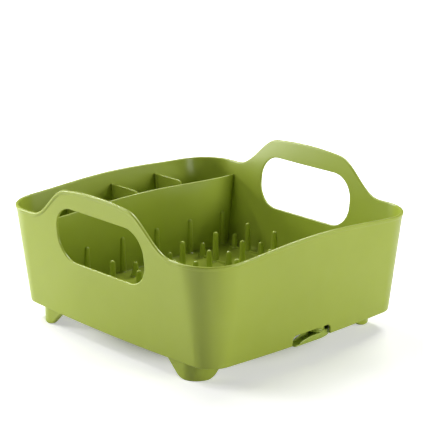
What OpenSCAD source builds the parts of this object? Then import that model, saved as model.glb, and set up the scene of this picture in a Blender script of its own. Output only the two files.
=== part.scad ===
// Tub-shaped dish drying rack with pegs, a cutlery section and a swivelling drain spout.
// X runs along the front wall, Y towards the cutlery section at the back, Z up.
// The origin is on the ground under the middle of the rack.

/* [Tub] */
// Width across the side walls at the height of the corner rims
rim_w = 336; // [326:1:350]
// Length front to back at the height of the corner rims
rim_l = 366; // [356:1:380]
// Width across the side walls at the skirt edge
base_w = 304; // [298:1:312]
// Length front to back at the skirt edge
base_l = 336; // [330:1:344]
// Height of the rim at the four corners
rim_z = 144; // [138:1:152]
// Height of the skirt edge above the ground
skirt_z = 23.3; // [21:0.1:26]
// Corner radius at the rim
rim_r = 47; // [40:1:54]
// Corner radius at the skirt edge
base_r = 28; // [24:1:32]
// Outward bulge of each wall at the skirt edge
base_bow = 4.6; // [2:0.1:6]
// Outward bulge of each wall at the rim, negative when the wall is drawn in
rim_bow = -1.8; // [-2.5:0.1:0]
// Wall thickness
wall_t = 3; // [2.4:0.1:3.4]
// How far the rim bead stands out of the wall
bead_out = 0.8; // [0.4:0.1:1.2]
// Height of the rim bead
bead_h = 4.5; // [3.5:0.1:6]

/* [Rim and handles] */
// Rise of the front and back rims at their middle
rim_arch = 7; // [3:0.5:10]
// Distance from the middle where that rise has died out
arch_reach = 157.6; // [145:0.1:160]
// Height of the top of the carry handles
handle_z = 188.5; // [180:0.5:200]
// Half length of the nearly level top of a handle
handle_flat = 54.7; // [50:0.1:60]
// Distance from the middle where a handle has run down into the rim
handle_run = 122.5; // [112:0.1:128]
// Fall of the handle's top between its middle and the end of its level part
handle_crown = 3.4; // [0:0.1:5]
// Length of the hand opening
grip_l = 153; // [140:1:160]
// Height of the hand opening
grip_h = 65.4; // [60:0.1:68]
// Height of the middle of the hand opening above the ground
grip_z = 130.4; // [128:0.1:134]
// Corner radius of the hand opening
grip_r = 29; // [20:1:29]

/* [Drain] */
// Width of the notch in the front skirt
notch_w = 61; // [58:1:66]
// Height of the top of the notch above the ground
notch_z = 35.2; // [34:0.1:35.4]
// Corner radius of the notch
notch_r = 6; // [3:0.5:8]
// Distance from the middle of the front wall to the spout's axis
spout_x = 19.5; // [12:0.5:19.5]
// Distance from the skirt's outer face at the middle of the front wall to the spout's axis
spout_in = 12.4; // [12.2:0.1:16]
// Distance from the spout's axis to the end of its lip
spout_len = 44.5; // [40:0.5:47]
// Length of the flat lip beyond the end of the trough's walls
lip_len = 8.5; // [6:0.5:12]
// Distance from the spout's axis to the end of its tail
tail_len = 27; // [24:0.5:30]
// Radius of the curve that leads the near side back to the tail
bend_r = 40; // [36:1:50]
// Distance before the axis where that curve starts
bend_x = 4; // [2:0.5:6]
// Width of the spout's trough
trough_w = 16.4; // [14:0.1:18]
// Width of the spout's lip
tip_w = 10.5; // [8:0.5:13]
// Height of the underside of the spout above the ground
spout_z = 20.2; // [19:0.1:20.6]
// Height of the trough's walls over the underside of the spout
trough_h = 7.4; // [6.8:0.1:7.8]
// Wall thickness of the spout
spout_wall = 1.8; // [1.5:0.1:2]
// Outer radius of the round basin under the drain tube
basin_r = 10.3; // [10:0.1:10.5]
// Bore radius of the drain tube
drain_r = 4.8; // [4:0.1:5]
// Outer radius of the drain tube
tube_r = 6.5; // [6.2:0.1:6.6]
// Radial running clearance between the drain tube and the spout's collar
spout_fit = 0.08; // [0.04:0.01:0.1]

/* [Floor and pegs] */
// Height of the underside of the floor above the ground
floor_z = 35.6; // [35.5:0.1:38]
// Floor thickness
floor_t = 2.6; // [2:0.1:3]
// Distance between neighbouring peg rows
row_pitch = 56; // [48:0.5:60]
// Distance from an outer peg row to the side wall at the row's front end
row_edge = 12.1; // [10:0.1:18]
// Distance between a tall peg and the next tall peg in a row
peg_pitch = 48.6; // [44:0.1:50]
// Height of the top of a tall peg above the ground
tall_z = 76.7; // [70:0.1:84]
// Height of the top of a short peg above the ground
short_z = 56.8; // [50:0.1:62]
// Radius of a peg at the floor
peg_base_r = 4.4; // [4:0.1:5]
// Radius of a peg's domed top
peg_top_r = 3.2; // [2.8:0.1:3.6]
// Number of tall pegs in a row
tall_count = 5; // [3:1:5]
// Height of the low rib that joins the pegs of a row
rib_h = 2.5; // [2:0.1:4]
// Width of that rib
rib_w = 4; // [3:0.1:6]

/* [Cutlery section] */
// Distance from the skirt's outer face at the middle of the back wall to the partition's front face
partition_in = 47.1; // [42:0.1:54]
// Thickness of the partition
partition_t = 2.5; // [2:0.1:3]
// Height of the partition's top at the walls
partition_z = 127.4; // [120:0.1:130]
// Rise of the partition's top at its middle
partition_arch = 5.8; // [0:0.1:8]
// Distance between neighbouring cross dividers
divider_pitch = 72; // [66:1:78]
// Thickness of a cross divider
divider_t = 2.2; // [1.8:0.1:2.8]
// Height of a cross divider's top above the ground
divider_z = 135.4; // [130:0.1:137]
// Radius of the post at the back end of a cross divider
post_r = 2.6; // [2:0.1:3]

/* [Feet] */
// Distance from the skirt's outer face at the middle of a side wall to a foot's side face
foot_side = 10.1; // [9:0.1:16]
// Distance from the skirt's outer face at the middle of the front wall to a front foot's end face
foot_front = 34.1; // [26:0.1:38]
// Distance from the skirt's outer face at the middle of the back wall to a back foot's end face
foot_back = 28.1; // [26:0.1:38]
// Corner radius of a foot
foot_r = 22.5; // [16:0.5:24]
// Wall thickness of a foot
foot_t = 3; // [2.4:0.1:4]
// Radius of the rounded lower corners of a foot
toe_r = 12; // [8:1:14]
// Half width of a foot's level bottom, measured across the corner
toe_flat = 12.3; // [8:0.1:16]
// Lean of a foot's side edges from the vertical, in degrees
toe_lean = 36; // [24:1:38]

/* [Hidden] */

moulding = [0.58, 0.63, 0.22];
spout_green = [0.55, 0.60, 0.20];

// number of peg rows
row_count = 6;
// steps of the tub's outline along a side wall, an end wall and a corner
side_steps = 32;
end_steps = 24;
corner_steps = 8;
// clearance that keeps the floor, partition and dividers just off the drafted walls
seat = 0.25;
floor_top = floor_z + floor_t;
// distance from the middle of the rack to the skirt's outer face at the middle of an end wall
skirt_face = base_l / 2 + base_bow;
spout_y = spout_in - skirt_face;
partition_y = skirt_face - partition_in;

// ---- shape of the walls ----

function mix(p, q, t) = p + (q - p) * t;
function level(z) = (z - skirt_z) / (rim_z - skirt_z);
function half_w(z) = mix(base_w, rim_w, level(z)) / 2;
function half_l(z) = mix(base_l, rim_l, level(z)) / 2;
function corner_r(z) = mix(base_r, rim_r, level(z));
function bow(z) = mix(base_bow, rim_bow, level(z));
// 0 at both ends of a run and 1 at its middle
function bulge(t) = 1 - pow(2 * t - 1, 2);

function wall_run(p, q, steps, out) =
    [for (i = [0 : steps - 1]) let (t = i / steps) mix(p, q, t) + out * bulge(t)];

function corner_run(centre, r, start) =
    [for (i = [0 : corner_steps - 1]) let (a = start + 90 * i / corner_steps) centre + r * [cos(a), sin(a)]];

// outline of the tub at height z, moved outwards by grow
function outline(z, grow) =
    let (r = corner_r(z) + grow, a = half_w(z) + grow, b = half_l(z) + grow, out = bow(z))
    let (ca = a - r, cb = b - r)
    concat(
        wall_run([a, -cb], [a, cb], side_steps, [out, 0]),
        corner_run([ca, cb], r, 0),
        wall_run([ca, b], [-ca, b], end_steps, [0, out]),
        corner_run([-ca, cb], r, 90),
        wall_run([-a, cb], [-a, -cb], side_steps, [-out, 0]),
        corner_run([-ca, -cb], r, 180),
        wall_run([-ca, -b], [ca, -b], end_steps, [0, -out]),
        corner_run([ca, -cb], r, 270)
    );

// inner face of the side walls at (y, z) and of the end walls at (x, z)
function side_face(y, z) =
    let (reach = half_l(z) - corner_r(z))
    half_w(z) - wall_t + bow(z) * bulge((y + reach) / (2 * reach));
function end_face(x, z) =
    let (reach = half_w(z) - corner_r(z))
    half_l(z) - wall_t + bow(z) * bulge((x + reach) / (2 * reach));

// 1 at u = 0, falling smoothly to 0 at u = 1 and beyond
function fade(u) = (1 + cos(180 * min(1, abs(u)))) / 2;
function handle_fade(y) = fade(max(0, (abs(y) - handle_flat) / (handle_run - handle_flat)));
function rim_height(p) =
    let (handle = handle_z - rim_z - handle_crown * pow(p[1] / handle_flat, 2))
    rim_z + rim_arch * fade(p[0] / arch_reach) + handle * handle_fade(p[1]);

// ---- rings of points and the solids between them ----

function at_height(points, z) = [for (p = points) concat(p, z)];

// ring that follows the rim at a distance below it, moved outwards by grow
function rim_ring(grow, below) =
    let (rim = outline(rim_z, 0), low = outline(skirt_z, grow), high = outline(rim_z, grow))
    [for (i = [0 : len(rim) - 1])
        let (z = rim_height(rim[i]) - below)
        concat(mix(low[i], high[i], level(z)), z)];

function band(first, second, n) =
    [for (i = [0 : n - 1])
        let (a = first * n + i, b = first * n + (i + 1) % n, c = second * n + i, d = second * n + (i + 1) % n)
        each [[a, c, b], [b, c, d]]];

// closed tube through rings, the last ring joined to the first
module ring_tube(rings) {
    n = len(rings[0]);
    m = len(rings);
    polyhedron(
        points = [for (ring = rings) each ring],
        faces = [for (j = [0 : m - 1]) each band(j, (j + 1) % m, n)]
    );
}

// solid plug between two rings
module ring_plug(low, high) {
    n = len(low);
    polyhedron(
        points = concat(low, high),
        faces = concat(
            band(0, 1, n),
            [[for (i = [0 : n - 1]) i]],
            [[for (i = [n - 1 : -1 : 0]) n + i]]
        )
    );
}

// ---- flat shapes ----

module rounded_rect(w, h, r) {
    square([w, h - 2 * r], center = true);
    square([w - 2 * r, h], center = true);
    for (sx = [-1, 1], sy = [-1, 1])
        translate([sx * (w / 2 - r), sy * (h / 2 - r)])
            circle(r, $fn = 48);
}

// ---- tub shell ----

module wall_ring() {
    bead_in = wall_t - 0.8;
    ring_tube([
        at_height(outline(skirt_z, 0), skirt_z),
        rim_ring(0, bead_h),
        rim_ring(bead_out, bead_h - 1.2),
        rim_ring(bead_out, 1),
        rim_ring(bead_out - 0.8, 0),
        rim_ring(-bead_in, 0),
        rim_ring(-wall_t, 0.8),
        at_height(outline(skirt_z, -wall_t), skirt_z)
    ]);
}

module grip_cutter() {
    rotate([90, 0, 90])
        linear_extrude(height = 2 * rim_w, center = true)
            translate([0, grip_z])
                rounded_rect(grip_l, grip_h, grip_r);
}

module notch_cutter() {
    deep = 4 * wall_t;
    low = skirt_z - 2 * notch_r;
    translate([0, -skirt_face, 0])
        rotate([90, 0, 0])
            linear_extrude(height = 2 * deep, center = true)
                translate([0, (notch_z + low) / 2])
                    rounded_rect(notch_w, notch_z - low, notch_r);
}

module tub_shell() {
    color(moulding)
        difference() {
            wall_ring();
            grip_cutter();
            notch_cutter();
        }
}

// ---- floor and drain ----

module floor_pan() {
    color(moulding)
        difference() {
            ring_plug(
                at_height(outline(floor_z, -wall_t - seat), floor_z),
                at_height(outline(floor_top, -wall_t - seat), floor_top)
            );
            translate([spout_x, spout_y, floor_z - 1])
                cylinder(h = floor_t + 2, r = drain_r, $fn = 48);
        }
}

flange_t = 4;
flange_out = 3;
lip_out = 0.9;
lip_h = 1.4;
lip_gap = 0.3;
collar_gap = 0.4;
collar_t = 2.2;
collar_r = tube_r + spout_fit + collar_t;
// top of the spout's collar, just under the tube's flange
collar_z = floor_z - flange_t - collar_gap;
// top of the trough's walls and underside of the roof, which rests on the tube's end lip
roof_z = spout_z + trough_h;
roof_t = 1.8;
lip_z = roof_z - lip_gap - lip_h;
// top of the trough's floor
trough_z = spout_z + spout_wall;

module drain_tube() {
    color(moulding)
        translate([spout_x, spout_y, 0])
            difference() {
                union() {
                    translate([0, 0, floor_z - flange_t])
                        cylinder(h = flange_t, r = tube_r + flange_out, $fn = 48);
                    translate([0, 0, lip_z])
                        cylinder(h = floor_z - lip_z, r = tube_r, $fn = 48);
                    translate([0, 0, lip_z])
                        cylinder(h = lip_h, r1 = tube_r, r2 = tube_r + lip_out, $fn = 48);
                }
                translate([0, 0, lip_z - 1])
                    cylinder(h = floor_z - lip_z + 2, r = drain_r, $fn = 48);
            }
}

// plan of the spout around its axis: the near side runs straight from the lip and then curves
// back to the tail, the far side is straight and narrows towards the lip
module spout_plan() {
    soft = 2.5;
    steps = 12;
    near = -basin_r;
    turn = asin((tail_len + bend_x) / bend_r);
    circle(basin_r, $fn = 64);
    offset(r = soft, $fn = 48)
        offset(delta = -soft)
            polygon(concat(
                [[-spout_len, near]],
                [for (i = [0 : steps])
                    let (a = turn * i / steps)
                    [-bend_x + bend_r * sin(a), near + bend_r * (1 - cos(a))]],
                [[tail_len, near + trough_w], [0, near + trough_w], [-spout_len, near + tip_w]]
            ));
}

// all that lies above the lip and above the sloping front end of the trough's walls
module above_lip() {
    wall_end = spout_len - lip_len;
    slope = 20;
    start_z = trough_z + 1.6;
    rotate([90, 0, 0])
        linear_extrude(height = 2 * tail_len, center = true)
            polygon([
                [-spout_len - 1, trough_z],
                [-wall_end, trough_z],
                [-wall_end, start_z],
                [-wall_end + 0.2 * slope, mix(start_z, roof_z, 0.34)],
                [-wall_end + 0.6 * slope, mix(start_z, roof_z, 0.74)],
                [-wall_end + slope, roof_z],
                [-wall_end + slope, roof_z + 1],
                [-spout_len - 1, roof_z + 1]
            ]);
}

module drain_spout() {
    color(spout_green)
        translate([spout_x, spout_y, 0])
            difference() {
                union() {
                    difference() {
                        translate([0, 0, spout_z])
                            linear_extrude(height = trough_h)
                                spout_plan();
                        above_lip();
                        translate([0, 0, trough_z])
                            linear_extrude(height = trough_h)
                                offset(delta = -spout_wall)
                                    spout_plan();
                    }
                    translate([0, 0, roof_z])
                        cylinder(h = roof_t, r = basin_r, $fn = 64);
                    translate([0, 0, roof_z])
                        cylinder(h = collar_z - roof_z, r = collar_r, $fn = 64);
                }
                translate([0, 0, trough_z])
                    cylinder(h = collar_z, r = tube_r + spout_fit, $fn = 64);
            }
}

// ---- pegs ----

module peg(top) {
    shank = top - peg_top_r - floor_top;
    translate([0, 0, floor_top])
        cylinder(h = shank, r1 = peg_base_r, r2 = peg_top_r, $fn = 32);
    translate([0, 0, top - peg_top_r])
        sphere(peg_top_r, $fn = 32);
}

// length of a row from the partition to its last tall peg
row_length = tall_count * peg_pitch;
outer_row = side_face(partition_y - row_length, floor_top) - row_edge;

// row 0 is the leftmost; the outer rows keep their distance from the side walls
function row_x(index) =
    let (place = index - (row_count - 1) / 2)
    abs(place) > row_count / 2 - 1 ? sign(place) * outer_row : place * row_pitch;

// tall pegs stand a whole pitch apart with a short peg between
module peg_row(index) {
    rib_end = peg_base_r + 3;
    color(moulding)
        translate([row_x(index), partition_y, 0]) {
            for (i = [1 : tall_count]) {
                translate([0, -i * peg_pitch, 0])
                    peg(tall_z);
                translate([0, -(i - 0.5) * peg_pitch, 0])
                    peg(short_z);
            }
            translate([-rib_w / 2, -row_length - rib_end, floor_top])
                cube([rib_w, row_length - peg_pitch / 2 + 2 * rib_end, rib_h]);
        }
}

// ---- cutlery section ----

function partition_top(x) = partition_z + partition_arch * fade(x / arch_reach);

// half width of the partition at height z, clear of the side walls over its whole thickness
function partition_reach(z) =
    min(side_face(partition_y, z), side_face(partition_y + partition_t, z)) - seat;

module partition_plan() {
    steps = 24;
    rise = 8;
    head = partition_reach(partition_z);
    levels = [for (i = [0 : rise - 1]) mix(floor_top, partition_z, i / rise)];
    polygon(concat(
        [for (z = levels) [partition_reach(z), z]],
        [for (i = [0 : steps]) let (x = mix(head, -head, i / steps)) [x, partition_top(x)]],
        [for (i = [rise - 1 : -1 : 0]) [-partition_reach(levels[i]), levels[i]]]
    ));
}

// pegs half sunk into the partition's front face
module half_pegs() {
    intersection() {
        for (i = [0 : row_count - 1])
            translate([row_x(i), partition_y, 0])
                peg(tall_z + 6);
        translate([-rim_w / 2, partition_y - 2 * peg_base_r, 0])
            cube([rim_w, 2 * peg_base_r + partition_t / 2, rim_z]);
    }
}

module cutlery_partition() {
    color(moulding)
        union() {
            translate([0, partition_y + partition_t, 0])
                rotate([90, 0, 0])
                    linear_extrude(height = partition_t)
                        partition_plan();
            half_pegs();
        }
}

// cross divider from the partition to the post against the back wall
module cutlery_divider(x) {
    front = partition_y + partition_t + seat;
    back_low = end_face(x, floor_top) - seat - post_r;
    back_high = end_face(x, divider_z) - seat - post_r;
    lean = atan((back_high - back_low) / (divider_z - floor_top));
    corner = 3;
    color(moulding)
        union() {
            translate([x - divider_t / 2, 0, 0])
                rotate([90, 0, 90])
                    linear_extrude(height = divider_t)
                        polygon([
                            [front, floor_top],
                            [back_low, floor_top],
                            [back_high, divider_z],
                            [front + corner, divider_z],
                            [front + corner * 0.3, divider_z - corner * 0.3],
                            [front, divider_z - corner]
                        ]);
            intersection() {
                translate([x, back_low, floor_top])
                    rotate([-lean, 0, 0])
                        translate([0, 0, -10])
                            cylinder(h = divider_z - floor_top + 9, r = post_r, $fn = 32);
                translate([x - 10, 0, floor_top])
                    cube([20, rim_l, rim_z]);
            }
        }
}

// ---- feet ----

// L-shaped corner wall in plan, its outer corner at the origin and its legs towards -X and -Y
module corner_wall(leg) {
    difference() {
        corner_fill(leg, foot_r, 0);
        corner_fill(leg + 1, foot_r - foot_t, foot_t);
    }
}

module corner_fill(leg, r, inset) {
    translate([-inset, -inset]) {
        translate([-r, -r])
            circle(r, $fn = 48);
        translate([-leg, -leg])
            square([leg - r, leg]);
        translate([-leg, -leg])
            square([leg, leg - r]);
    }
}

// outline of a foot seen across the corner: level bottom, rounded toes, leaning sides
module toe_plan() {
    side_x = toe_flat + toe_r * cos(toe_lean);
    side_z = toe_r * (1 - sin(toe_lean));
    top_x = side_x + (floor_z - side_z) * tan(toe_lean);
    steps = 8;
    right = concat(
        [for (i = [0 : steps])
            let (a = mix(-90, -toe_lean, i / steps))
            [toe_flat + toe_r * cos(a), toe_r + toe_r * sin(a)]],
        [[top_x, floor_z]]
    );
    left = [for (i = [len(right) - 1 : -1 : 0]) [-right[i][0], right[i][1]]];
    polygon(concat(right, left));
}

module foot(side_sign, end_sign) {
    leg = 64;
    side_face_x = base_w / 2 + base_bow - foot_side;
    end_face_y = skirt_face - (end_sign < 0 ? foot_front : foot_back);
    color(moulding)
        mirror([side_sign < 0 ? 1 : 0, 0, 0])
            mirror([0, end_sign < 0 ? 1 : 0, 0])
                translate([side_face_x, end_face_y, 0])
                    intersection() {
                        linear_extrude(height = floor_z)
                            corner_wall(leg);
                        rotate([90, 0, -45])
                            linear_extrude(height = 4 * leg, center = true)
                                toe_plan();
                    }
}

tub_shell();
floor_pan();
drain_tube();
drain_spout();
peg_row(0);  // peg_row_1
peg_row(1);  // peg_row_2
peg_row(2);  // peg_row_3
peg_row(3);  // peg_row_4
peg_row(4);  // peg_row_5
peg_row(5);  // peg_row_6
cutlery_partition();
cutlery_divider(-divider_pitch);  // cutlery_divider_left
cutlery_divider(0);  // cutlery_divider_middle
cutlery_divider(divider_pitch);  // cutlery_divider_right
foot(-1, -1);  // foot_front_left
foot(1, -1);  // foot_front_right
foot(-1, 1);  // foot_back_left
foot(1, 1);  // foot_back_right
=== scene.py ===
# Looks of the dish drying rack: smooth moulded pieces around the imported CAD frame.
# Lengths are written in millimetres, as in the part's source, and turned to metres by vec().
import math

import bmesh
import bpy
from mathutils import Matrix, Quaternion, Vector


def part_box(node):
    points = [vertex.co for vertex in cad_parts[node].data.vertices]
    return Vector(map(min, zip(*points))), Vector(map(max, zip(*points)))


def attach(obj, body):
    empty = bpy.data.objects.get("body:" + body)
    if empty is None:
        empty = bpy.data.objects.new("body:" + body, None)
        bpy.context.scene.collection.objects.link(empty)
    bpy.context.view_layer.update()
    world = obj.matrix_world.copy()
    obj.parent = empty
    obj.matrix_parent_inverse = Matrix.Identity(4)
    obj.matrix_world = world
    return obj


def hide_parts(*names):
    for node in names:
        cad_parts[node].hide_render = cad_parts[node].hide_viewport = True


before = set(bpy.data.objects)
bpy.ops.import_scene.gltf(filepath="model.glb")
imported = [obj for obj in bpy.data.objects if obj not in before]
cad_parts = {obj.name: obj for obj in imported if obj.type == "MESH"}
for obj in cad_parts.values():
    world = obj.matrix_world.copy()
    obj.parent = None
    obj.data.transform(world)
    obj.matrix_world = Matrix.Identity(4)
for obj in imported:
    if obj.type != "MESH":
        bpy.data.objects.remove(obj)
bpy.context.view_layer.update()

MM = 0.001


def vec(x, y, z):
    return Vector((x * MM, y * MM, z * MM))


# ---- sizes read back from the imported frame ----

def span(node):
    lo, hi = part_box(node)
    return [v / MM for v in lo], [v / MM for v in hi]


tub_lo, tub_hi = span("tub_shell")
floor_lo, floor_hi = span("floor_pan")
tube_lo, tube_hi = span("drain_tube")

# ---- the tub's shape, as in the part's source ----

RIM_W, RIM_L = 336.0, 366.0
BASE_W, BASE_L = 304.0, 336.0
RIM_Z, SKIRT_Z = 144.0, tub_lo[2]
RIM_R, BASE_R = 47.0, 28.0
BASE_BOW, RIM_BOW = 4.6, -1.8
WALL_T = 3.0
RIM_ARCH, ARCH_REACH = 7.0, 157.6
HANDLE_Z = tub_hi[2]
HANDLE_FLAT, HANDLE_RUN, HANDLE_CROWN = 54.7, 122.5, 3.4
GRIP_L, GRIP_H, GRIP_Z, GRIP_R = 153.0, 65.4, 130.4, 29.0
NOTCH_W, NOTCH_Z, NOTCH_R = 61.0, 35.2, 6.0
FLOOR_Z, FLOOR_TOP = floor_lo[2], floor_hi[2]
SPOUT_X = (tube_lo[0] + tube_hi[0]) / 2
SPOUT_Y = (tube_lo[1] + tube_hi[1]) / 2
DRAIN_R, TUBE_R, LIP_OUT, LIP_H, FLANGE_T = 4.8, 6.5, 0.9, 1.4, 4.0
SPOUT_LEN, LIP_LEN = 44.5, 8.5
BEND_R, BEND_X = 40.0, 4.0
TROUGH_W, TIP_W, TROUGH_H = 16.4, 10.5, 7.4
SPOUT_WALL, SPOUT_FIT, ROOF_T, COLLAR_T = 1.8, 0.08, 1.8, 2.2
BASIN_R = 10.3
FOOT_R, FOOT_T = 22.5, 3.0
TOE_R, TOE_FLAT, TOE_LEAN = 12.0, 12.3, 36.0
PEG_BASE_R, PEG_TOP_R = 4.4, 3.2
PEG_PITCH, SHORT_PEG_Z = 48.6, 56.8
ROW_COUNT, PEG_COUNT = 6, 5
RIB_W, RIB_H = 4.0, 2.5
PARTITION_Y, PARTITION_T = 125.5, 2.5
PARTITION_Z, PARTITION_ARCH = 127.4, 5.8
FRONT_RIB_RISE, FRONT_RIB_SUNK = 6.0, 0.9
DIVIDER_T, POST_R = 2.2, 2.6


def mix(p, q, t):
    return p + (q - p) * t


def level(z):
    return (z - SKIRT_Z) / (RIM_Z - SKIRT_Z)


def half_w(z):
    return mix(BASE_W, RIM_W, level(z)) / 2


def half_l(z):
    return mix(BASE_L, RIM_L, level(z)) / 2


def corner_r(z):
    return mix(BASE_R, RIM_R, level(z))


def bow(z):
    return mix(BASE_BOW, RIM_BOW, level(z))


def fade(u):
    """1 at u = 0, falling smoothly to 0 at u = 1 and beyond."""
    return (1 + math.cos(math.pi * min(1.0, abs(u)))) / 2


def rim_height(x, y):
    """Height of the rim's top: arched over the end walls, raised over the hand openings."""
    handle = HANDLE_Z - RIM_Z - HANDLE_CROWN * (y / HANDLE_FLAT) ** 2
    run = max(0.0, (abs(y) - HANDLE_FLAT) / (HANDLE_RUN - HANDLE_FLAT))
    return RIM_Z + RIM_ARCH * fade(x / ARCH_REACH) + handle * fade(run)


def eased_bulge(t):
    """1 at a run's middle and nearly 0 at its ends, with no crease where the corner begins."""
    def plain(s):
        return max(0.0, 1 - (2 * s - 1) ** 2)
    ease = 0.07
    # (place in units of ease, weight) of the values that are averaged
    taps = ((-1.0, 0.05), (-0.66, 0.12), (-0.33, 0.2), (0.0, 0.26),
            (0.33, 0.2), (0.66, 0.12), (1.0, 0.05))
    return sum(w * plain(t + ease * d) for d, w in taps)


# ---- the walls: a column is a function of height and outward growth ----

def on_side(y, z, sign, grow):
    reach = half_l(z) - corner_r(z)
    x = half_w(z) + grow + bow(z) * eased_bulge((y + reach) / (2 * reach))
    return vec(sign * x, y, z)


def on_end(x, z, sign, grow):
    reach = half_w(z) - corner_r(z)
    y = half_l(z) + grow + bow(z) * eased_bulge((x + reach) / (2 * reach))
    return vec(x, sign * y, z)


# Middle share of a corner where none of the wall's bow is left
CORNER_CORE = 0.44


def on_corner(t, z, turn, grow):
    """Point of a corner, t from 0 to 1 along it; turn 0 is back right, then anticlockwise."""
    r = corner_r(z)
    cx, cy = half_w(z) - r, half_l(z) - r
    cx *= (1, -1, -1, 1)[turn]
    cy *= (1, 1, -1, -1)[turn]
    left = max(0.0, (abs(2 * t - 1) - CORNER_CORE) / (1 - CORNER_CORE))
    eased = left ** 2 * eased_bulge(0.0) * bow(z)
    ang = math.radians(90 * (turn + t))
    return vec(cx + (r + grow + eased) * math.cos(ang), cy + (r + grow + eased) * math.sin(ang), z)


# Half lengths of the patches round a hand opening and round the notch
SIDE_PATCH, END_PATCH = 100.0, 50.0
# Steps along a side wall's strip, an end wall's strip, a corner and the two patches
SIDE_STEPS, END_STEPS, CORNER_STEPS, PATCH_STEPS, NOTCH_STEPS = 10, 14, 18, 44, 24
# Shares of a wall's height where it is divided; the notch's patch ends at the last low one
LOW_LEVELS = [0.0, 0.03, 0.07, 0.12, 0.18]
LEVELS = LOW_LEVELS + [0.18 + 0.82 * (i + 1) / 14 for i in range(14)]
NOTCH_LEVEL = len(LOW_LEVELS) - 1


def strip_side(sign, end):
    """Columns of a side wall from the patch round the hand opening to a corner."""
    def column(q):
        return lambda z, g: on_side(end * mix(SIDE_PATCH, half_l(z) - corner_r(z), q), z, sign, g)
    return [column(i / SIDE_STEPS) for i in range(SIDE_STEPS + 1)]


def strip_end(sign, side):
    """Columns of an end wall from the patch round the notch to a corner."""
    def column(q):
        return lambda z, g: on_end(side * mix(END_PATCH, half_w(z) - corner_r(z), q), z, sign, g)
    return [column(i / END_STEPS) for i in range(END_STEPS + 1)]


def strip_corner(turn):
    """Columns of a corner, anticlockwise."""
    def column(t):
        return lambda z, g: on_corner(t, z, turn, g)
    return [column(i / CORNER_STEPS) for i in range(CORNER_STEPS + 1)]


def patch_places(half, steps):
    """Even places across a patch, from one end to the other."""
    return [mix(-half, half, i / steps) for i in range(steps + 1)]


def patch_side(sign):
    """Columns of a side wall across the patch, from -y to +y."""
    def column(y):
        return lambda z, g: on_side(y, z, sign, g)
    return [column(y) for y in patch_places(SIDE_PATCH, PATCH_STEPS)]


def patch_end(sign):
    """Columns of an end wall across the patch, from -x to +x."""
    def column(x):
        return lambda z, g: on_end(x, z, sign, g)
    return [column(x) for x in patch_places(END_PATCH, NOTCH_STEPS)]


def plain_strips():
    """All strips beside the patches and the four corners."""
    strips = [strip_side(s, e) for s in (-1, 1) for e in (-1, 1)]
    strips += [strip_end(s, e) for s in (-1, 1) for e in (-1, 1)]
    strips += [strip_corner(turn) for turn in range(4)]
    return strips + [patch_end(1)]


def top_of(column):
    """Height of the rim's top over a column."""
    p = column(RIM_Z, 0)
    return rim_height(p.x / MM, p.y / MM)


def heights(column, below):
    """Heights where a column is divided, up to a distance below the rim's top."""
    top = top_of(column) - below
    return [mix(SKIRT_Z, top, v) for v in LEVELS]


def add_grid(bm, rows):
    """Four-sided faces between equally long rows of points."""
    made = [[bm.verts.new(p) for p in row] for row in rows]
    for upper, lower in zip(made, made[1:]):
        for i in range(len(upper) - 1):
            bm.faces.new((upper[i], upper[i + 1], lower[i + 1], lower[i]))


def arc(cx, cy, r, start, end, steps):
    """Points of an arc between two angles in degrees, both ends included."""
    return [
        (cx + r * math.cos(math.radians(mix(start, end, i / steps))),
         cy + r * math.sin(math.radians(mix(start, end, i / steps))))
        for i in range(steps + 1)
    ]


def resample(points, count):
    """The same path in count equal steps."""
    lengths = [0.0]
    for a, b in zip(points, points[1:]):
        lengths.append(lengths[-1] + math.hypot(b[0] - a[0], b[1] - a[1]))
    out, k = [], 0
    for i in range(count + 1):
        want = lengths[-1] * i / count
        while k < len(points) - 2 and lengths[k + 1] < want:
            k += 1
        part = (want - lengths[k]) / (lengths[k + 1] - lengths[k])
        here, there = points[k], points[k + 1]
        out.append((mix(here[0], there[0], part), mix(here[1], there[1], part)))
    return out


def grip_contour(offset):
    """Hand opening's edge in the side wall's plane, anticlockwise from its lower -y corner."""
    w, h, r = GRIP_L / 2 + offset, GRIP_H / 2 + offset, GRIP_R + offset
    a, b = w - r, h - r
    n = len(LEVELS) - 1
    low = arc(-a, GRIP_Z - b, r, 225, 270, 24) + arc(a, GRIP_Z - b, r, 270, 315, 24)
    right = arc(a, GRIP_Z - b, r, 315, 360, 24) + arc(a, GRIP_Z + b, r, 0, 45, 24)
    high = arc(a, GRIP_Z + b, r, 45, 90, 24) + arc(-a, GRIP_Z + b, r, 90, 135, 24)
    left = arc(-a, GRIP_Z + b, r, 135, 180, 24) + arc(-a, GRIP_Z - b, r, 180, 225, 24)
    return (resample(low, PATCH_STEPS) + resample(right, n)[1:]
            + resample(high, PATCH_STEPS)[1:] + resample(left, n)[1:])


def notch_contour(offset):
    """Drain notch's edge in the front wall's plane, from its lower left end to its lower right."""
    w, r = NOTCH_W / 2 + offset, NOTCH_R + offset
    top = NOTCH_Z + offset - r
    up = [(-w, SKIRT_Z)] + arc(-w + r, top, r, 180, 135, 16)
    across = arc(-w + r, top, r, 135, 90, 16) + arc(w - r, top, r, 90, 45, 16)
    down = arc(w - r, top, r, 45, 0, 16) + [(w, SKIRT_Z)]
    return (resample(up, NOTCH_LEVEL) + resample(across, NOTCH_STEPS)[1:]
            + resample(down, NOTCH_LEVEL)[1:])


# Distances of the first rings from an opening's edge
EDGE_RINGS = (0.0, 1.5, 4.0)


def rings_between(contour, border, count):
    """Rings round an opening, then count more that change evenly into the patch's border."""
    rings = [contour(o) for o in EDGE_RINGS]
    last = rings[-1]
    for k in range(1, count + 1):
        t = k / count
        rings.append([(mix(p[0], q[0], t), mix(p[1], q[1], t)) for p, q in zip(last, border)])
    return rings


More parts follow.
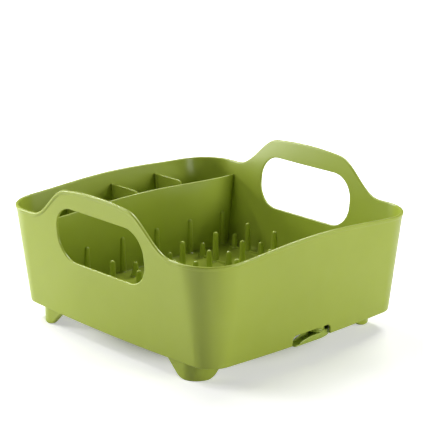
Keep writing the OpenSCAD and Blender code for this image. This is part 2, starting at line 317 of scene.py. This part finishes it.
def side_rings(below):
    """Rings of (y, z) pairs round a hand opening."""
    columns = patch_side(1)
    ys = patch_places(SIDE_PATCH, PATCH_STEPS)
    ends = heights(columns[0], below)
    border = [(y, SKIRT_Z) for y in ys]
    border += [(SIDE_PATCH, z) for z in ends[1:]]
    border += [(y, heights(c, below)[-1]) for y, c in reversed(list(zip(ys, columns)))][1:]
    border += [(-SIDE_PATCH, z) for z in reversed(ends)][1:]
    return rings_between(grip_contour, border, 9)


def notch_rings(below):
    """Rings of (x, z) pairs round the drain notch, open at the bottom."""
    columns = patch_end(-1)
    xs = patch_places(END_PATCH, NOTCH_STEPS)
    ends = heights(columns[0], below)[:NOTCH_LEVEL + 1]
    border = [(-END_PATCH, z) for z in ends]
    border += [(x, heights(c, below)[NOTCH_LEVEL]) for x, c in zip(xs, columns)][1:]
    border += [(END_PATCH, z) for z in reversed(ends)][1:]
    return rings_between(notch_contour, border, 4)


def add_sheet(bm, grow, below):
    """One face of the walls, with the hand openings and the notch left out."""
    for strip in plain_strips():
        add_grid(bm, [[c(z, grow) for z in heights(c, below)] for c in strip])
    over_notch = [[c(z, grow) for z in heights(c, below)[NOTCH_LEVEL:]] for c in patch_end(-1)]
    add_grid(bm, over_notch)
    for sign in (-1, 1):
        add_grid(bm, [[on_side(y, z, sign, grow) for y, z in ring] for ring in side_rings(below)])
    add_grid(bm, [[on_end(x, z, -1, grow) for x, z in ring] for ring in notch_rings(below)])


def perimeter():
    """All columns once round, anticlockwise from the right side wall's front end."""
    around = []
    around += reversed(strip_side(1, -1))
    around += patch_side(1)[1:]
    around += strip_side(1, 1)[1:]
    around += strip_corner(0)[1:]
    around += list(reversed(strip_end(1, 1)))[1:]
    around += list(reversed(patch_end(1)))[1:]
    around += strip_end(1, -1)[1:]
    around += strip_corner(1)[1:]
    around += list(reversed(strip_side(-1, 1)))[1:]
    around += list(reversed(patch_side(-1)))[1:]
    around += strip_side(-1, -1)[1:]
    around += strip_corner(2)[1:]
    around += list(reversed(strip_end(-1, -1)))[1:]
    around += patch_end(-1)[1:]
    around += strip_end(-1, 1)[1:]
    around += strip_corner(3)[1:]
    return around


# Where the rim's rolled edge begins below the top, outside and inside
OUTER_BELOW, INNER_BELOW = 5.2, 1.8
# The rolled edge as (outward growth, distance below the top)
RIM_PROFILE = (
    [(0.0, OUTER_BELOW), (0.2, 4.6), (0.62, 4.1), (0.8, 3.4)]
    + [(-0.8 + x, 1.6 - y) for x, y in arc(0, 0, 1.6, 0, 90, 5)]
    + [(-1.7 + x, 1.3 - y) for x, y in arc(0, 0, 1.3, 90, 180, 5)]
    + [(-WALL_T, INNER_BELOW)]
)


def to_object(name, bm, body="tub", bevel=0.0, merge=0.003):
    """Closes up a mesh, shades it smooth and lets it ride on a body."""
    bmesh.ops.remove_doubles(bm, verts=bm.verts, dist=merge * MM)
    bmesh.ops.recalc_face_normals(bm, faces=bm.faces)
    mesh = bpy.data.meshes.new(name)
    bm.to_mesh(mesh)
    bm.free()
    for face in mesh.polygons:
        face.use_smooth = True
    obj = bpy.data.objects.new(name, mesh)
    bpy.context.collection.objects.link(obj)
    if bevel:
        mod = obj.modifiers.new("rounded_edges", "BEVEL")
        mod.width = bevel * MM
        mod.segments = 3
        mod.limit_method = "ANGLE"
        mod.angle_limit = math.radians(38)
        mod.harden_normals = False
        even = obj.modifiers.new("even_shading", "WEIGHTED_NORMAL")
        even.keep_sharp = True
        even.weight = 80
    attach(obj, body)
    return obj


def make_tub():
    """Walls with a rolled rim, two hand openings and the drain notch."""
    bm = bmesh.new()
    add_sheet(bm, 0.0, OUTER_BELOW)
    add_sheet(bm, -WALL_T, INNER_BELOW)
    around = perimeter()
    rows = []
    for c in around + around[:1]:
        top = top_of(c)
        rows.append([c(top - below, grow) for grow, below in RIM_PROFILE])
    add_grid(bm, rows)
    for sign in (-1, 1):
        edge = grip_contour(0.0)
        add_grid(bm, [[on_side(y, z, sign, g) for g in (0.0, -WALL_T)] for y, z in edge])
    edge = notch_contour(0.0)
    add_grid(bm, [[on_end(x, z, -1, g) for g in (0.0, -WALL_T)] for x, z in edge])
    ends = [(ring[0][0], ring[-1][0]) for ring in notch_rings(OUTER_BELOW)]
    for k in (0, 1):
        add_grid(bm, [[on_end(pair[k], SKIRT_Z, -1, g) for g in (0.0, -WALL_T)] for pair in ends])
    for strip in plain_strips() + [patch_side(1), patch_side(-1)]:
        add_grid(bm, [[c(SKIRT_Z, g) for g in (0.0, -WALL_T)] for c in strip])
    return to_object("tub_walls", bm, bevel=0.9)


def round_rows(cx, cy, profile, count):
    """A closed ring of points for each (radius, z) pair."""
    turns = [2 * math.pi * i / count for i in range(count + 1)]
    return [[vec(cx + r * math.cos(a), cy + r * math.sin(a), z) for a in turns] for r, z in profile]


def fill_level(bm, z):
    """Fills the flat area inside the open edges at height z."""
    open_edges = [e for e in bm.edges if e.is_boundary
                  and all(abs(v.co.z / MM - z) < 0.01 for v in e.verts)]
    bmesh.ops.triangle_fill(bm, use_beauty=True, use_dissolve=False, edges=open_edges)


def make_floor():
    """Floor pan, with a fillet up the walls and a rounded drain hole."""
    bm = bmesh.new()
    around = perimeter()
    overlap = 0.4
    inset = WALL_T - overlap
    rise = 4.0
    ring_spec = [(FLOOR_Z, 0.0), (FLOOR_TOP + rise + 0.6, 0.0)]
    for degrees in (0, 15, 30, 45, 60, 75, 90):
        a = math.radians(degrees)
        ring_spec.append((FLOOR_TOP + rise - rise * math.sin(a),
                          overlap + rise * (1 - math.cos(a))))
    rows = [[c(z, -inset - g) for c in around + around[:1]] for z, g in ring_spec]
    add_grid(bm, rows)
    soft = 1.0
    hole = [(DRAIN_R, FLOOR_Z), (DRAIN_R, FLOOR_TOP - soft)]
    hole += [(DRAIN_R + soft - x, FLOOR_TOP - soft + y) for x, y in arc(0, 0, soft, 0, 90, 4)][1:]
    add_grid(bm, round_rows(SPOUT_X, SPOUT_Y, hole, 48))
    bmesh.ops.remove_doubles(bm, verts=bm.verts, dist=0.003 * MM)
    for z in (FLOOR_Z, FLOOR_TOP):
        fill_level(bm, z)
    return to_object("tub_floor", bm)


def add_lathe(bm, cx, cy, profile, count=28, lean=(0.0, 0.0), clip=None):
    """Solid of revolution from (radius, z) pairs, closed at both ends."""
    z0 = profile[0][1]
    rings = []
    for r, z in profile:
        ring = []
        for i in range(count):
            ang = 2 * math.pi * i / count
            x = cx + lean[0] * (z - z0) + r * math.cos(ang)
            y = cy + lean[1] * (z - z0) + r * math.sin(ang)
            if clip is not None:
                y = min(y, clip)
            ring.append(bm.verts.new(vec(x, y, z)))
        rings.append(ring)
    for low, high in zip(rings, rings[1:]):
        for i in range(count):
            j = (i + 1) % count
            bm.faces.new((low[i], low[j], high[j], high[i]))
    bm.faces.new(list(reversed(rings[0])))
    bm.faces.new(rings[-1])


def peg_profile(top):
    """A peg from its fillet on the floor to its domed top, as (radius, z) pairs."""
    foot = 2.0
    dome = top - PEG_TOP_R
    profile = [(PEG_BASE_R + foot, FLOOR_TOP - 0.2)]
    for degrees in (0, 22, 45, 68, 90):
        a = math.radians(degrees)
        profile.append((PEG_BASE_R + foot - foot * math.sin(a),
                        FLOOR_TOP + foot - foot * math.cos(a)))
    profile += [(mix(PEG_BASE_R, PEG_TOP_R, t), mix(FLOOR_TOP + foot, dome, t))
                for t in (0.3, 0.6, 1.0)]
    for degrees in (15, 30, 45, 60, 75, 86):
        a = math.radians(degrees)
        profile.append((PEG_TOP_R * math.cos(a), dome + PEG_TOP_R * math.sin(a)))
    return profile


def add_rib(bm, x, y0, y1):
    """Low rounded rib on the floor, along Y."""
    w, h, r = RIB_W / 2, RIB_H, 1.0
    section = [(-w - 1.2, -0.2), (-w - 0.3, 0.2), (-w, 1.0)]
    section += [(-w + r + p, h - r + q) for p, q in arc(0, 0, r, 180, 90, 3)]
    section += [(-p, q) for p, q in reversed(section)]
    # (y, share of the full height)
    ends = [(y0, 0.0), (y0 + 0.3, 0.6), (y0 + 1.2, 0.92), (y0 + 2.5, 1.0)]
    ends += [(y1 - 2.5, 1.0), (y1 - 1.2, 0.92), (y1 - 0.3, 0.6), (y1, 0.0)]
    add_grid(bm, [[vec(x + p * mix(0.7, 1.0, k), y, FLOOR_TOP - 0.2 + (q + 0.2) * k)
                   for p, q in section] for y, k in ends])


def make_row(index):
    """A row of tall and short pegs on a low rib."""
    node = "peg_row_%d" % index
    lo, hi = span(node)
    x = (lo[0] + hi[0]) / 2
    bm = bmesh.new()
    for i in range(1, PEG_COUNT + 1):
        add_lathe(bm, x, PARTITION_Y - i * PEG_PITCH, peg_profile(hi[2]))
        add_lathe(bm, x, PARTITION_Y - (i - 0.5) * PEG_PITCH, peg_profile(SHORT_PEG_Z))
    add_rib(bm, x, lo[1], hi[1])
    row = to_object("row_%d" % index, bm, merge=0.0005)
    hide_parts(node)
    return row


def side_inner(y, z):
    """Distance of a side wall's inner face from the rack's middle plane."""
    return abs(on_side(y, z, 1, -WALL_T).x) / MM


def end_inner(x, z):
    """The same for an end wall."""
    return abs(on_end(x, z, 1, -WALL_T).y) / MM


def wall_section(thickness, top, foot, shares, steps):
    """Section of a thin wall with a flared foot and a round top, as (offset, z) pairs.

    foot gives the flare's size and where its middle point is; shares divide the upright part.
    """
    half = thickness / 2
    flare, middle = foot
    section = [(-half - flare, FLOOR_TOP - 0.1), (-half - middle, FLOOR_TOP + middle)]
    section += [(-half, mix(FLOOR_TOP + flare, top - half, t)) for t in (0.0, *shares)]
    section += [(p, top - half + q) for p, q in arc(0, 0, half, 180, 90, steps)]
    return section + [(-p, q) for p, q in reversed(section[:-1])]


def close_ends(bm, rows):
    """Flat faces over the first and the last section."""
    for row in (rows[0], rows[-1]):
        bm.faces.new([bm.verts.new(p) for p in row])


def make_partition():
    """Arched wall across the tub, with a half-round rib on its front face at each peg row."""
    bm = bmesh.new()
    mid = PARTITION_Y + PARTITION_T / 2
    overlap = 0.6
    steps = 72
    rows = []
    for i in range(steps + 1):
        u = mix(-1, 1, i / steps)
        top = PARTITION_Z + PARTITION_ARCH * fade(u * side_inner(mid, PARTITION_Z) / ARCH_REACH)
        section = wall_section(PARTITION_T, top, (1.6, 0.5), (0.25, 0.5, 0.75), 5)
        rows.append([vec(u * (side_inner(mid + p, z) + overlap), mid + p, z) for p, z in section])
    add_grid(bm, rows)
    close_ends(bm, rows)
    underside = [r[0] for r in rows] + [r[-1] for r in reversed(rows)]
    bm.faces.new([bm.verts.new(p) for p in underside])
    bmesh.ops.remove_doubles(bm, verts=bm.verts, dist=0.003 * MM)
    for index in range(1, ROW_COUNT + 1):
        lo, hi = span("peg_row_%d" % index)
        rib = peg_profile(hi[2] + FRONT_RIB_RISE)
        add_lathe(bm, (lo[0] + hi[0]) / 2, PARTITION_Y, rib, clip=PARTITION_Y + FRONT_RIB_SUNK)
    piece = to_object("partition", bm, merge=0.0005)
    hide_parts("cutlery_partition")
    return piece


def make_divider(name):
    """Thin wall from the partition to a leaning post against the back wall."""
    node = "cutlery_divider_" + name
    lo, hi = span(node)
    x, top = (lo[0] + hi[0]) / 2, hi[2]
    bm = bmesh.new()
    front = PARTITION_Y + PARTITION_T - 0.3
    steps = 20
    # The top's front corner is rounded over the first steps
    corner_drop, corner_steps = 3.0, 2.5
    rows = []
    for i in range(steps + 1):
        ahead = max(0.0, 1 - i / corner_steps)
        drop = corner_drop * (1 - math.sqrt(1 - ahead ** 2))
        section = wall_section(DIVIDER_T, top - drop, (1.4, 0.4), (0.33, 0.66), 4)
        rows.append([vec(x + p, mix(front, end_inner(x, z) - POST_R, i / steps), z)
                     for p, z in section])
    add_grid(bm, rows)
    close_ends(bm, rows)
    low_y = end_inner(x, FLOOR_TOP) - POST_R
    lean = (end_inner(x, top) - POST_R - low_y) / (top - FLOOR_TOP)
    soft = 1.2
    dome = top - soft
    profile = [(POST_R + 1.5, FLOOR_TOP - 0.1), (POST_R + 0.4, FLOOR_TOP + 0.5),
               (POST_R, FLOOR_TOP + 1.5)]
    profile += [(POST_R, mix(FLOOR_TOP + 1.5, dome, t)) for t in (0.5, 1.0)]
    for degrees in (22, 45, 68, 90):
        a = math.radians(degrees)
        profile.append((POST_R - soft + soft * math.cos(a), dome + soft * math.sin(a)))
    add_lathe(bm, x, low_y, profile, count=24, lean=(0.0, lean))
    piece = to_object("divider_" + name, bm, merge=0.0005)
    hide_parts(node)
    return piece


# ---- feet ----

def toe_height(u):
    """Height of a foot's lower edge at a distance u across the corner."""
    over = abs(u) - TOE_FLAT
    if over <= 0:
        return 0.0
    reach = TOE_R * math.cos(math.radians(TOE_LEAN))
    if over <= reach:
        return TOE_R - math.sqrt(TOE_R ** 2 - over ** 2)
    rise = TOE_R * (1 - math.sin(math.radians(TOE_LEAN)))
    return min(FLOOR_Z, rise + (over - reach) / math.tan(math.radians(TOE_LEAN)))


def make_foot(name):
    """Bent wall under a corner, its lower edge rounded and cut to the toe's outline."""
    node = "foot_" + name
    lo, hi = span(node)
    sx = 1 if lo[0] > 0 else -1
    sy = 1 if lo[1] > 0 else -1
    fx, fy = max(abs(lo[0]), abs(hi[0])), max(abs(lo[1]), abs(hi[1]))
    leg = hi[0] - lo[0]
    leg_steps, bend_steps = 40, 24
    # The outer face in plan: x and y from the corner, and the outward normal there
    path = []
    for i in range(leg_steps + 1):
        path.append((0.0, -mix(leg, FOOT_R, i / leg_steps), 1.0, 0.0))
    for i in range(1, bend_steps):
        a = math.radians(90 * i / bend_steps)
        path.append((FOOT_R * (math.cos(a) - 1), FOOT_R * (math.sin(a) - 1),
                     math.cos(a), math.sin(a)))
    for i in range(leg_steps + 1):
        path.append((-mix(FOOT_R, leg, i / leg_steps), 0.0, 0.0, 1.0))
    soft = 0.9
    lifts = (FLOOR_Z, 18.0, 9.0, 3.0)
    bm = bmesh.new()
    rows = []
    for px, py, nx, ny in path:
        def at(inset, lift):
            qx, qy = px - nx * inset, py - ny * inset
            low = toe_height((qx - qy) * math.sqrt(0.5))
            return vec(sx * (fx + qx), sy * (fy + qy), min(FLOOR_Z, low + lift))
        row = [at(0.0, lift) for lift in lifts]
        row += [at(soft + dx, soft + dz) for dx, dz in arc(0, 0, soft, 180, 270, 4)]
        row += [at(FOOT_T / 2, 0.0)]
        row += [at(FOOT_T - soft + dx, soft + dz) for dx, dz in arc(0, 0, soft, 270, 360, 4)]
        row += [at(FOOT_T, lift) for lift in reversed(lifts)]
        rows.append(row)
    add_grid(bm, rows)
    add_grid(bm, [[row[0], row[-1]] for row in rows])
    piece = to_object("corner_" + node, bm, merge=0.002)
    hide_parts(node)
    return piece


# ---- drain tube and spout ----

def add_ring_lathe(bm, cx, cy, profile, count=64):
    """Hollow solid of revolution from a closed loop of (radius, z) pairs."""
    add_grid(bm, round_rows(cx, cy, profile + profile[:1], count))


def make_tube():
    """Flanged tube under the drain hole, with a lip that holds the spout."""
    bm = bmesh.new()
    low = tube_lo[2]
    under = FLOOR_Z - FLANGE_T
    flange = (tube_hi[0] - tube_lo[0]) / 2
    profile = [(flange - 0.6 + x, under + 0.6 + z) for x, z in arc(0, 0, 0.6, 0, -90, 4)]
    profile += [(TUBE_R + 0.5 - x, under - 0.5 + z) for x, z in arc(0, 0, 0.5, 90, 0, 3)]
    profile += [(TUBE_R, low + LIP_H + 0.8), (TUBE_R + LIP_OUT, low + LIP_H)]
    profile += [(TUBE_R, low + 0.1), (TUBE_R - 0.3, low)]
    profile += [(DRAIN_R + 0.3, low), (DRAIN_R, low + 0.3), (DRAIN_R, FLOOR_Z), (flange, FLOOR_Z)]
    add_ring_lathe(bm, SPOUT_X, SPOUT_Y, profile)
    piece = to_object("tube", bm, bevel=0.15, merge=0.002)
    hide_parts("drain_tube")
    return piece


def spout_contour():
    """The spout's plan around its axis, anticlockwise, as (x, y, normal x, normal y)."""
    near = -BASIN_R
    far = near + TROUGH_W
    soft = 2.5
    points = []

    def turn(cx, cy, r, start, end, steps):
        for i in range(steps + 1):
            a = math.radians(mix(start, end, i / steps))
            points.append((cx + r * math.cos(a), cy + r * math.sin(a), math.cos(a), math.sin(a)))

    def run(count):
        """Marks where a straight stretch is divided before the next turn is added."""
        points.append(count)

    slope = math.atan((TROUGH_W - TIP_W) / SPOUT_LEN)
    tip_x = -SPOUT_LEN + soft
    turn(tip_x, near + soft, soft, 180, 270, 8)
    run(60)
    bend_y = near + BEND_R
    tail_y = far - soft
    tail_x = -BEND_X + math.sqrt((BEND_R - soft) ** 2 - (bend_y - tail_y) ** 2)
    sweep = math.degrees(math.atan2(tail_y - bend_y, tail_x + BEND_X))
    turn(-BEND_X, bend_y, BEND_R, -90, sweep, 20)
    turn(tail_x, tail_y, soft, sweep, 90, 10)
    run(10)
    meet = math.degrees(math.asin(far / BASIN_R))
    left = meet

    def above_wall(degrees):
        a = math.radians(degrees)
        return BASIN_R * math.sin(a) > far + BASIN_R * math.cos(a) * math.tan(slope)

    while above_wall(left) or left < 90:
        left += 0.5
    turn(0, 0, BASIN_R, meet, left, 24)
    run(24)
    lip_y = far + tip_x * math.tan(slope) - soft / math.cos(slope)
    turn(tip_x, lip_y, soft, 90 + math.degrees(slope), 180, 8)
    run(6)
    out = []
    for i, p in enumerate(points):
        if isinstance(p, tuple):
            out.append(p)
            continue
        a, b = points[i - 1], points[(i + 1) % len(points)]
        length = math.hypot(b[0] - a[0], b[1] - a[1])
        nx, ny = (b[1] - a[1]) / length, -(b[0] - a[0]) / length
        for k in range(1, p):
            out.append((mix(a[0], b[0], k / p), mix(a[1], b[1], k / p), nx, ny))
    return out


def wall_top(x, trough_z, roof_z):
    """Height of the trough's walls: level at the basin, sloping down towards the lip, then gone."""
    wall_end = SPOUT_LEN - LIP_LEN
    start = trough_z + 1.6
    if x <= -wall_end - 0.4:
        return trough_z
    if x <= -wall_end + 0.2:
        return mix(trough_z, start, (x + wall_end + 0.4) / 0.6)
    slope_run = 20.0
    u = (x + wall_end) / slope_run
    # Stretches of the slope: from place and height to place and height, as shares of the whole
    for u0, v0, u1, v1 in ((0.0, 0.0, 0.2, 0.34), (0.2, 0.34, 0.6, 0.74), (0.6, 0.74, 1.0, 1.0)):
        if u < u1:
            return mix(start, roof_z, mix(v0, v1, (u - u0) / (u1 - u0)))
    return roof_z


def make_spout():
    """Swivelling spout: an open trough, with a round deck and a collar on the tube."""
    lo, hi = span("drain_spout")
    low, collar_z = lo[2], hi[2]
    trough_z, roof_z = low + SPOUT_WALL, low + TROUGH_H
    contour = spout_contour()
    soft = 0.8
    bm = bmesh.new()
    # (inset, height), or (inset, None, height from the wall's top) along the trough's wall
    spec = [(soft + x, low + soft + z) for x, z in arc(0, 0, soft, 270, 180, 5)]
    spec += [(0.0, None, -1.6), (0.0, None, -0.6), (0.18, None, -0.18), (0.6, None, 0.0)]
    spec += [(SPOUT_WALL - 0.6, None, 0.0), (SPOUT_WALL - 0.18, None, -0.18),
             (SPOUT_WALL, None, -0.6)]
    spec += [(SPOUT_WALL, trough_z + 0.6), (SPOUT_WALL + 0.18, trough_z + 0.18),
             (SPOUT_WALL + 0.6, trough_z)]
    rows = []
    for item in spec:
        row = []
        for x, y, nx, ny in contour + contour[:1]:
            inset = item[0]
            top = wall_top(x, trough_z, roof_z)
            if len(item) == 3:
                floor_z = low + soft if inset < 0.1 else min(top, trough_z)
                z = max(floor_z, top + item[2])
            else:
                z = min(item[1], top)
            row.append(vec(SPOUT_X + x - nx * inset, SPOUT_Y + y - ny * inset, z))
        rows.append(row)
    add_grid(bm, rows)
    bmesh.ops.remove_doubles(bm, verts=bm.verts, dist=0.002 * MM)
    for z in (low, trough_z):
        fill_level(bm, z)
    bore, collar = TUBE_R + SPOUT_FIT, TUBE_R + SPOUT_FIT + COLLAR_T
    deck = roof_z + ROOF_T
    profile = [(bore, roof_z), (BASIN_R - 0.3, roof_z), (BASIN_R, roof_z + 0.3)]
    profile += [(BASIN_R - 0.6 + x, deck - 0.6 + z) for x, z in arc(0, 0, 0.6, 0, 90, 4)]
    profile += [(collar + 0.5 - x, deck + 0.5 - z) for x, z in arc(0, 0, 0.5, 90, 0, 3)]
    profile += [(collar - 0.6 + x, collar_z - 0.6 + z) for x, z in arc(0, 0, 0.6, 0, 90, 4)]
    profile += [(bore + 0.3, collar_z), (bore, collar_z - 0.3)]
    add_ring_lathe(bm, SPOUT_X, SPOUT_Y, profile)
    piece = to_object("spout", bm, body="spout", merge=0.001)
    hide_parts("drain_spout")
    return piece


# ---- materials ----

# Linear colours of the plastic and of its pale wear
GREEN, WORN_GREEN = (0.362, 0.44, 0.050), (0.46, 0.55, 0.16)
SPOUT_GREEN, WORN_SPOUT_GREEN = (0.335, 0.43, 0.056), (0.44, 0.53, 0.15)
# Kept above 0.274: crossing that value shows as hard-edged patches after denoising
SMOOTHEST, ROUGHEST = 0.282, 0.31
MOST_WEAR = 0.05


def map_range(tree, source, before, after, interpolation="LINEAR"):
    """Output of a node that maps one range of a value to another, held at both ends."""
    m = tree.nodes.new("ShaderNodeMapRange")
    m.interpolation_type = interpolation
    m.inputs["From Min"].default_value, m.inputs["From Max"].default_value = before
    m.inputs["To Min"].default_value, m.inputs["To Max"].default_value = after
    tree.links.new(source, m.inputs["Value"])
    return m.outputs["Result"]


def moulded_plastic(name, colour, worn):
    """Satin polypropylene: faint drift of shade, pale mottling, uneven polish and fine grain."""
    mat = bpy.data.materials.new(name)
    mat.use_nodes = True
    tree = mat.node_tree
    nodes, links = tree.nodes, tree.links
    shader = nodes["Principled BSDF"]
    shader.inputs["IOR"].default_value = 1.49
    shader.inputs["Specular IOR Level"].default_value = 0.5
    coords = nodes.new("ShaderNodeTexCoord")

    def noise(scale, detail, rough=0.5):
        """Noise in the object's own metres: the scale is about the number of lumps in one."""
        n = nodes.new("ShaderNodeTexNoise")
        n.inputs["Scale"].default_value = scale
        n.inputs["Detail"].default_value = detail
        n.inputs["Roughness"].default_value = rough
        links.new(coords.outputs["Object"], n.inputs["Vector"])
        return n.outputs["Fac"]

    flow = noise(9.0, 3.0)
    mottle = noise(45.0, 1.5)
    grain = noise(1400.0, 2.0, 0.6)
    ripple = noise(26.0, 2.0)

    blend = nodes.new("ShaderNodeMix")
    blend.data_type = "RGBA"
    blend.inputs["A"].default_value = (*[c * 0.965 for c in colour], 1)
    blend.inputs["B"].default_value = (*[min(1, c * 1.04) for c in colour], 1)
    links.new(map_range(tree, flow, (0.3, 0.7), (0.0, 1.0)), blend.inputs["Factor"])

    speck = nodes.new("ShaderNodeMix")
    speck.data_type = "RGBA"
    links.new(blend.outputs["Result"], speck.inputs["A"])
    speck.inputs["B"].default_value = (*worn, 1)
    links.new(map_range(tree, mottle, (0.35, 0.75), (0.0, MOST_WEAR)), speck.inputs["Factor"])
    links.new(speck.outputs["Result"], shader.inputs["Base Color"])

    polish = map_range(tree, mottle, (0.25, 0.75), (SMOOTHEST, ROUGHEST))
    links.new(polish, shader.inputs["Roughness"])

    def bump(height, strength, distance):
        b = nodes.new("ShaderNodeBump")
        b.inputs["Strength"].default_value = strength
        b.inputs["Distance"].default_value = distance
        links.new(height, b.inputs["Height"])
        return b

    fine = bump(grain, 0.02, 0.00008)
    broad = bump(ripple, 0.05, 0.0002)
    links.new(fine.outputs["Normal"], broad.inputs["Normal"])
    links.new(broad.outputs["Normal"], shader.inputs["Normal"])
    return mat


plastic = moulded_plastic("moulded_green", GREEN, WORN_GREEN)
spout_plastic = moulded_plastic("spout_green", SPOUT_GREEN, WORN_SPOUT_GREEN)


def finish_piece(piece, material):
    piece.data.materials.clear()
    piece.data.materials.append(material)


pieces = [make_tub(), make_floor()]
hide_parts("tub_shell")
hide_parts("floor_pan")
pieces += [make_row(index) for index in range(1, ROW_COUNT + 1)]
pieces += [make_partition()]
pieces += [make_divider(n) for n in ("left", "middle", "right")]
pieces += [make_foot(n) for n in ("front_left", "front_right", "back_left", "back_right")]
pieces += [make_tube()]
for piece in pieces:
    finish_piece(piece, plastic)
finish_piece(make_spout(), spout_plastic)


# ---- stage, lights, camera ----

FLOOR_RADIUS = 9.0
WORLD_FILL = 0.10
# The photo's view point; angles in degrees, distance in metres, focal length in mm
CAMERA_AZIMUTH, CAMERA_ELEVATION, CAMERA_ROLL = -42.789, 16.63, -0.125
CAMERA_DISTANCE, CAMERA_LENS = 1.9774, 140.06
CAMERA_TARGET = vec(19.45, 12.91, 129.04)
LIGHT_TARGET = Vector((0.0, 0.0, 0.1))
# Name, azimuth, elevation, distance, width, height, power
SOFTBOXES = (
    ("left_softbox", -147, 9, 2.0, 0.7, 0.9, 34),
    ("front_softbox", 22, 6, 2.0, 1.0, 0.8, 24),
    ("right_strip", 100, 50, 1.8, 0.8, 0.12, 17),
    ("back_strip", 174, 46, 1.8, 0.8, 0.12, 17),
    ("left_strip", -128, 56, 1.8, 0.8, 0.3, 8),
)


def direction(azimuth, elevation):
    """Unit vector from the rack outwards; azimuth 0 looks at the front wall."""
    a, e = math.radians(azimuth), math.radians(elevation)
    return Vector((math.sin(a) * math.cos(e), -math.cos(a) * math.cos(e), math.sin(e)))


def make_stage():
    """Plain floor, lit by the lamps and lifted towards white for the camera only."""
    bm = bmesh.new()
    bmesh.ops.create_circle(bm, cap_ends=True, cap_tris=False, segments=64, radius=FLOOR_RADIUS)
    mesh = bpy.data.meshes.new("studio_floor")
    bm.to_mesh(mesh)
    bm.free()
    floor = bpy.data.objects.new("studio_floor", mesh)
    bpy.context.collection.objects.link(floor)
    mat = bpy.data.materials.new("studio_floor")
    mat.use_nodes = True
    tree = mat.node_tree
    nodes, links = tree.nodes, tree.links
    shader = nodes["Principled BSDF"]
    shader.inputs["Base Color"].default_value = (0.86, 0.86, 0.85, 1)
    shader.inputs["Roughness"].default_value = 0.9
    shader.inputs["Specular IOR Level"].default_value = 0.0
    path = nodes.new("ShaderNodeLightPath")
    shader.inputs["Emission Color"].default_value = (1, 1, 1, 1)
    coords = nodes.new("ShaderNodeTexCoord")
    far = nodes.new("ShaderNodeVectorMath")
    far.operation = "LENGTH"
    links.new(coords.outputs["Object"], far.inputs[0])

    def product(first, second):
        m = nodes.new("ShaderNodeMath")
        m.operation = "MULTIPLY"
        links.new(first, m.inputs[0])
        links.new(second, m.inputs[1])
        return m.outputs[0]

    # The lift by the distance in metres from the middle: none under the rack, all of it far out
    distance = far.outputs["Value"]
    rise = map_range(tree, distance, (0.35, 1.3), (0.46, 1.0), "SMOOTHSTEP")
    under = map_range(tree, distance, (0.09, 0.16), (0.0, 1.0), "SMOOTHSTEP")
    lift = product(path.outputs["Is Camera Ray"], product(rise, under))
    links.new(lift, shader.inputs["Emission Strength"])
    mesh.materials.append(mat)


def make_world():
    """White for the camera, dim for everything else."""
    world = bpy.data.worlds.new("studio")
    bpy.context.scene.world = world
    world.use_nodes = True
    nodes, links = world.node_tree.nodes, world.node_tree.links
    nodes.clear()
    out = nodes.new("ShaderNodeOutputWorld")
    back = nodes.new("ShaderNodeBackground")
    back.inputs["Color"].default_value = (1, 1, 1, 1)
    path = nodes.new("ShaderNodeLightPath")
    pick = nodes.new("ShaderNodeMath")
    pick.operation = "MULTIPLY_ADD"
    pick.inputs[1].default_value = 1.0 - WORLD_FILL
    pick.inputs[2].default_value = WORLD_FILL
    links.new(path.outputs["Is Camera Ray"], pick.inputs[0])
    links.new(pick.outputs[0], back.inputs["Strength"])
    links.new(back.outputs[0], out.inputs["Surface"])


def add_softbox(name, azimuth, elevation, distance, width, height, power):
    """Area light that faces the rack: angles in degrees, sizes in metres, power in watts."""
    light = bpy.data.lights.new(name, "AREA")
    light.shape = "RECTANGLE"
    light.size, light.size_y = width, height
    light.energy = power
    obj = bpy.data.objects.new(name, light)
    back = direction(azimuth, elevation)
    obj.location = LIGHT_TARGET + back * distance
    obj.rotation_mode = "QUATERNION"
    obj.rotation_quaternion = (-back).to_track_quat("-Z", "Y")
    bpy.context.collection.objects.link(obj)


def make_camera():
    cam = bpy.data.cameras.new("camera")
    cam.sensor_width = 36.0
    cam.lens = CAMERA_LENS
    cam.clip_start, cam.clip_end = 0.1, 40.0
    obj = bpy.data.objects.new("camera", cam)
    bpy.context.collection.objects.link(obj)
    back = direction(CAMERA_AZIMUTH, CAMERA_ELEVATION)
    obj.location = CAMERA_TARGET + back * CAMERA_DISTANCE
    obj.rotation_mode = "QUATERNION"
    turn = (-back).to_track_quat("-Z", "Y")
    roll = Quaternion((0, 0, 1), math.radians(CAMERA_ROLL))
    obj.rotation_quaternion = turn @ roll
    bpy.context.scene.camera = obj


make_stage()
make_world()
make_camera()
for softbox in SOFTBOXES:
    add_softbox(*softbox)

bpy.context.scene.view_settings.view_transform = "Standard"
